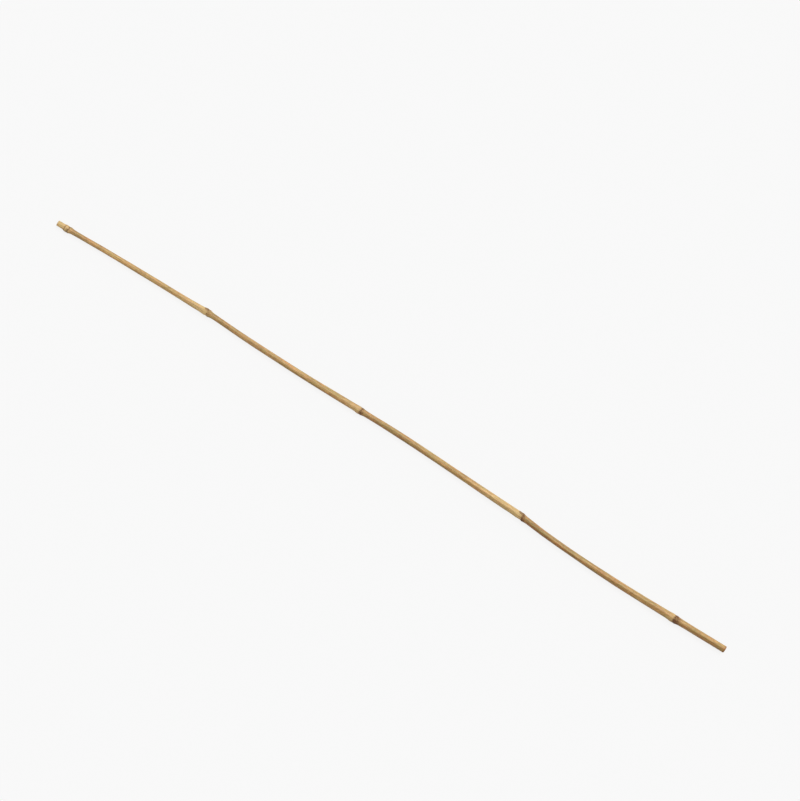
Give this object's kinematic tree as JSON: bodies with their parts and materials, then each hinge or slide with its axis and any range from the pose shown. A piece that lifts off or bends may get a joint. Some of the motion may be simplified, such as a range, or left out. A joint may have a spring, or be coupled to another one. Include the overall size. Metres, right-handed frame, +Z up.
{
  "type": "bamboo cane",
  "caption": "Slim bamboo garden cane sawn from one culm, gently bowed and tapered, with ringed nodes, trimmed branch stumps and square-cut hollow ends.",
  "frame": {"origin": "on the ground under the middle of the cane's bounding box, the cane lying on its node rings", "axes": "+X along the cane towards the thick butt end, -X towards the thin end, +Y sideways in the plane of the ground, +Z up"},
  "size_m": [1.2, 0.0224, 0.0134],
  "materials": {
    "bark": "dried tan bamboo bark with a dull waxy sheen, fine lengthwise fibres, paler above each node, a dark ring at each node and pale sawn ends"
  },
  "bodies": {
    "root": {"cane": "bark"}
  },
  "joints": []
}
